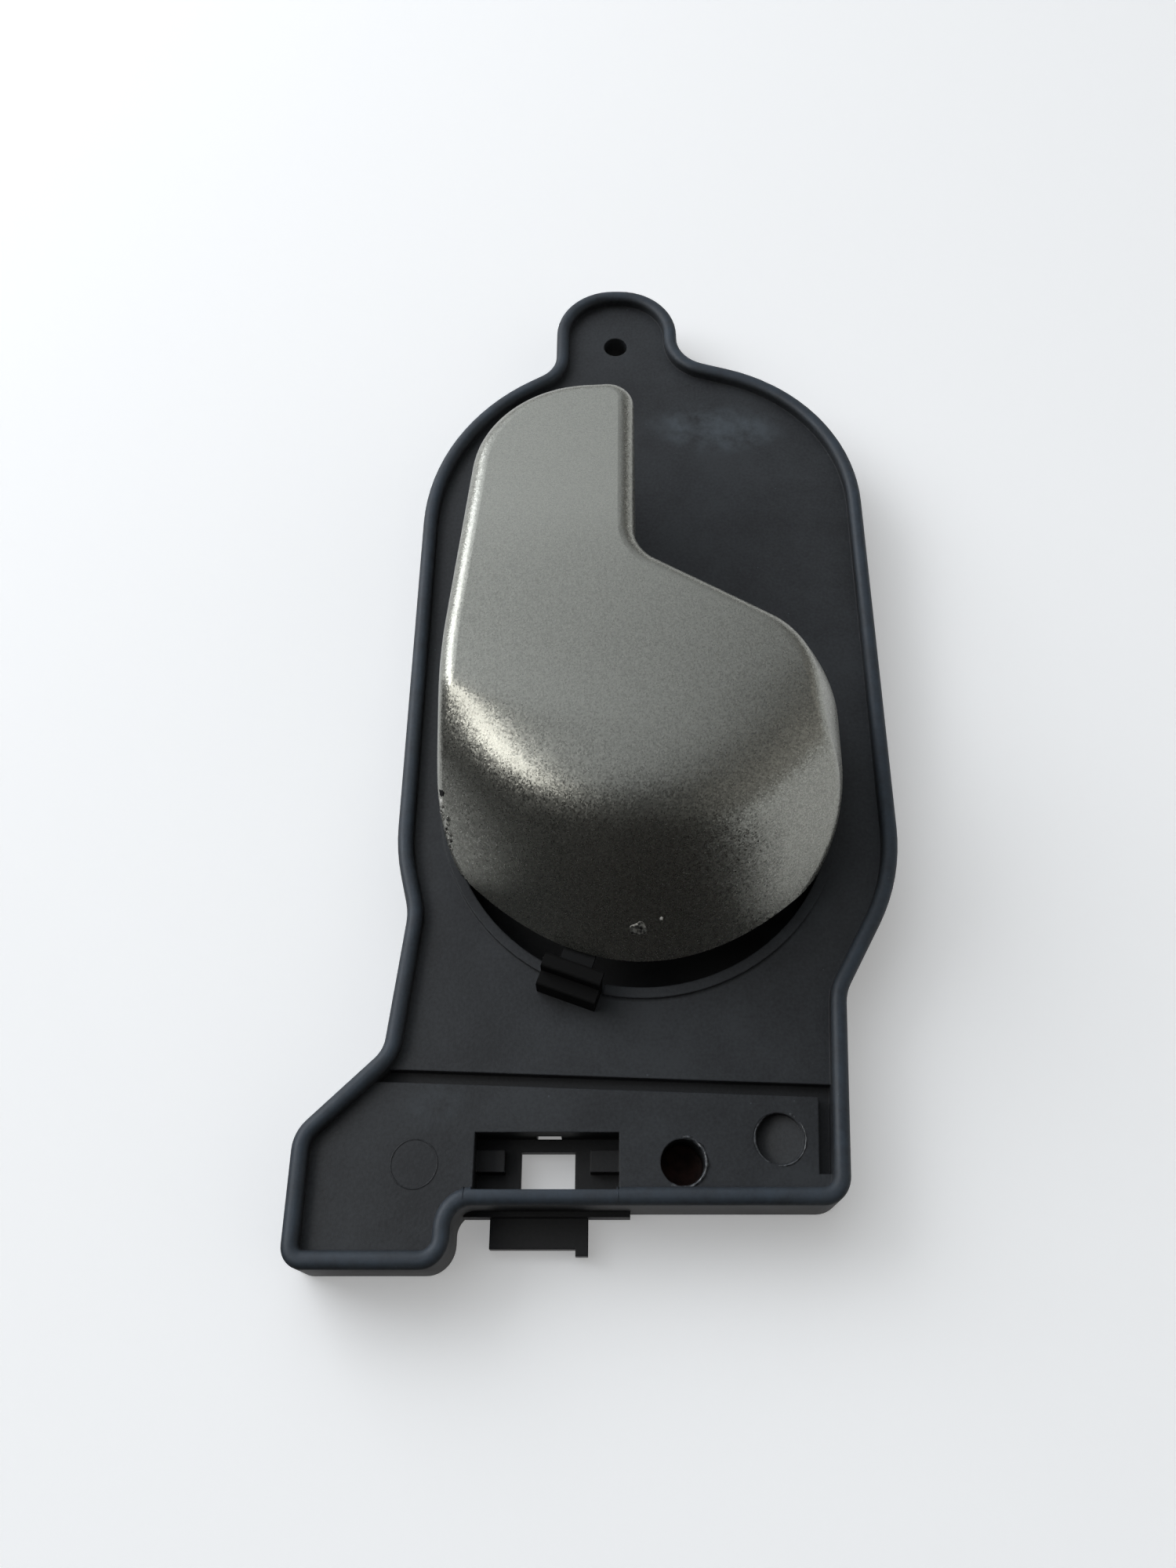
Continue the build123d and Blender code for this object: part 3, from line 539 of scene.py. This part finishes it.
# Return spring: hard drawn wire wound round the pin. One leg stands in the well and the other lifts
# the front of the lever, so the coil twists as the lever is pulled.
# Oiled wire: grey metal with slick patches that shine more than the rest.
spring_steel = new_material("oiled spring wire")
place = add_node(spring_steel, "ShaderNodeTexCoord")
oil = add_node(spring_steel, "ShaderNodeTexNoise", {"Scale": 1 / (1.5 * MM), "Detail": 3.0},
               {"Vector": place.outputs["Object"]})
slick = add_node(spring_steel, "ShaderNodeMapRange", {"To Min": 0.25, "To Max": 0.5},
                 {"Value": oil.outputs["Fac"]})
wire_look = add_node(spring_steel, "ShaderNodeBsdfPrincipled",
                     {"Base Color": linear("#8b8a86"), "Metallic": 1.0},
                     {"Roughness": slick.outputs["Result"]})
add_node(spring_steel, "ShaderNodeOutputMaterial", links={"Surface": wire_look.outputs[0]})

pivot = Vector((0, -19.0 * MM, 14.5 * MM))
coil_radius = 3.6 * MM
coil_pitch = 1.35 * MM
coil_start = 0.2 * MM
lower_tilt = radians(40)
upper_tilt = radians(34)
coil_turn = 5.5 * 2 * pi - lower_tilt - upper_tilt
wire_radius = 0.55 * MM
foot_level = 1.5 * MM
head_level = 25.2 * MM
steps = 130


def coil_point(turn):
    """Point of the coil after a turn from its lower end."""
    angle = turn + lower_tilt
    return pivot + Vector((coil_start + coil_pitch * turn / (2 * pi), coil_radius * sin(angle),
                           -coil_radius * cos(angle)))


wire = [coil_point(coil_turn * step / steps) for step in range(steps + 1)]
first_way = (wire[0] - wire[1]).normalized()
last_way = (wire[-1] - wire[-2]).normalized()
wire.insert(0, wire[0] + first_way * ((wire[0].z - foot_level) / -first_way.z))
wire.append(wire[-1] + last_way * ((head_level - wire[-1].z) / last_way.z))
sides = 12
points = []
faces = []
for i, middle in enumerate(wire):
    way = (wire[min(i + 1, len(wire) - 1)] - wire[max(i - 1, 0)]).normalized()
    across = way.cross(Vector((1, 0, 0))).normalized()
    other = way.cross(across)
    for side in range(sides):
        turn = 2 * pi * side / sides
        points.append(middle + across * wire_radius * cos(turn) + other * wire_radius * sin(turn))
        if i:
            a = (i - 1) * sides + side
            b = (i - 1) * sides + (side + 1) % sides
            faces.append((a, b, b + sides, a + sides))
faces.append(tuple(reversed(range(sides))))
faces.append(tuple(range(len(points) - sides, len(points))))
spring = new_piece("spring_wire", points, faces, spring_steel)
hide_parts("return_spring")
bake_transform(spring)


# Rest buffer: a small moulded rubber stop, pegged through the floor at the edge of the well.
# Its nose holds down the lever's toe.
# Rubber: soft-edged and dull, a shade blacker than the plate. Its pores are finer than the 0.6 mm that they
# are drawn at to show.
stop_rubber = new_material("moulded black rubber")
place = add_node(stop_rubber, "ShaderNodeTexCoord")
pore = add_node(stop_rubber, "ShaderNodeTexNoise", {"Scale": 1 / (0.6 * MM), "Detail": 3.0},
                {"Vector": place.outputs["Object"]})
bump = add_node(stop_rubber, "ShaderNodeBump", {"Strength": 0.25, "Distance": 0.04 * MM},
                {"Height": pore.outputs["Fac"]})
rubber_look = add_node(stop_rubber, "ShaderNodeBsdfPrincipled",
                       {"Base Color": linear("#070707"), "Roughness": 0.7, "IOR": 1.5,
                        "Specular IOR Level": 0.12},
                       {"Normal": bump.outputs["Normal"]})
add_node(stop_rubber, "ShaderNodeOutputMaterial", links={"Surface": rubber_look.outputs[0]})
stop = dress("rest_buffer", stop_rubber)
round_off = stop.modifiers.new("soft edges", "BEVEL")
round_off.width = 0.3 * MM
round_off.segments = 3
round_off.limit_method = "ANGLE"
round_off.angle_limit = radians(40)
